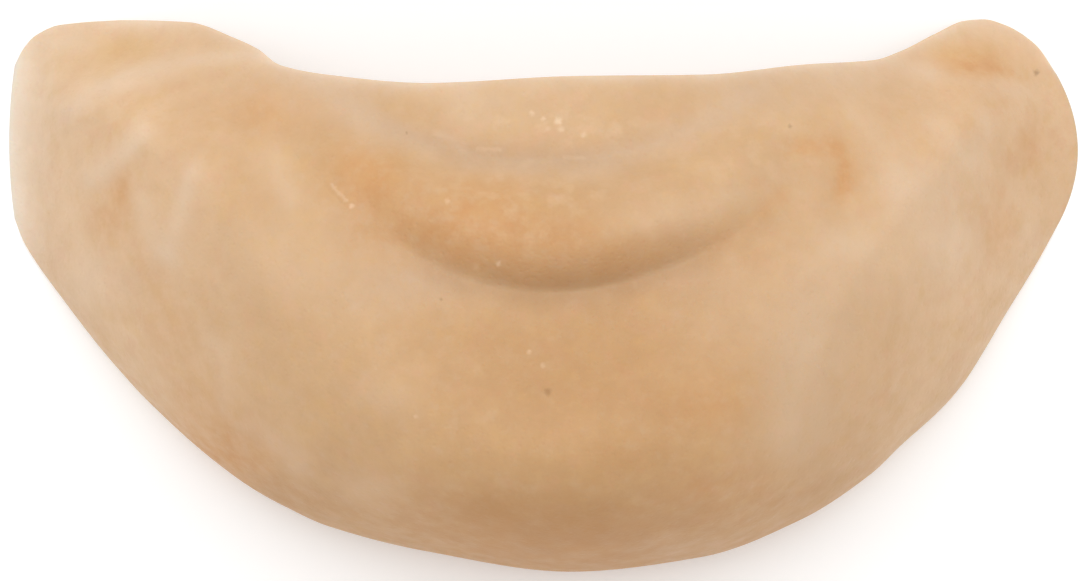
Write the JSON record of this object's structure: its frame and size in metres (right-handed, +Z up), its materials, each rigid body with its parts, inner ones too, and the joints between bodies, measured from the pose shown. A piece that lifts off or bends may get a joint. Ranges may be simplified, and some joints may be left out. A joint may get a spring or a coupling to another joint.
{
  "type": "prosthetic chin",
  "caption": "Hollow latex chin appliance with two side wings, a soft roll above a deep crease, and a thin trimmed rim; glued over the wearer's own chin.",
  "frame": {"origin": "on the surface that the rim rests on, under the middle of the piece's box", "axes": "+X to the viewer's right along the width, +Y from the neck edge to the lip edge, +Z up through the front of the chin; the open back faces down"},
  "size_m": [0.1164, 0.0598, 0.0369],
  "materials": {
    "latex": "satin, skin-toned slip latex, slightly translucent and mottled, raw at the trimmed edge"
  },
  "bodies": {
    "root": {"chin_shell": "latex"}
  },
  "joints": []
}
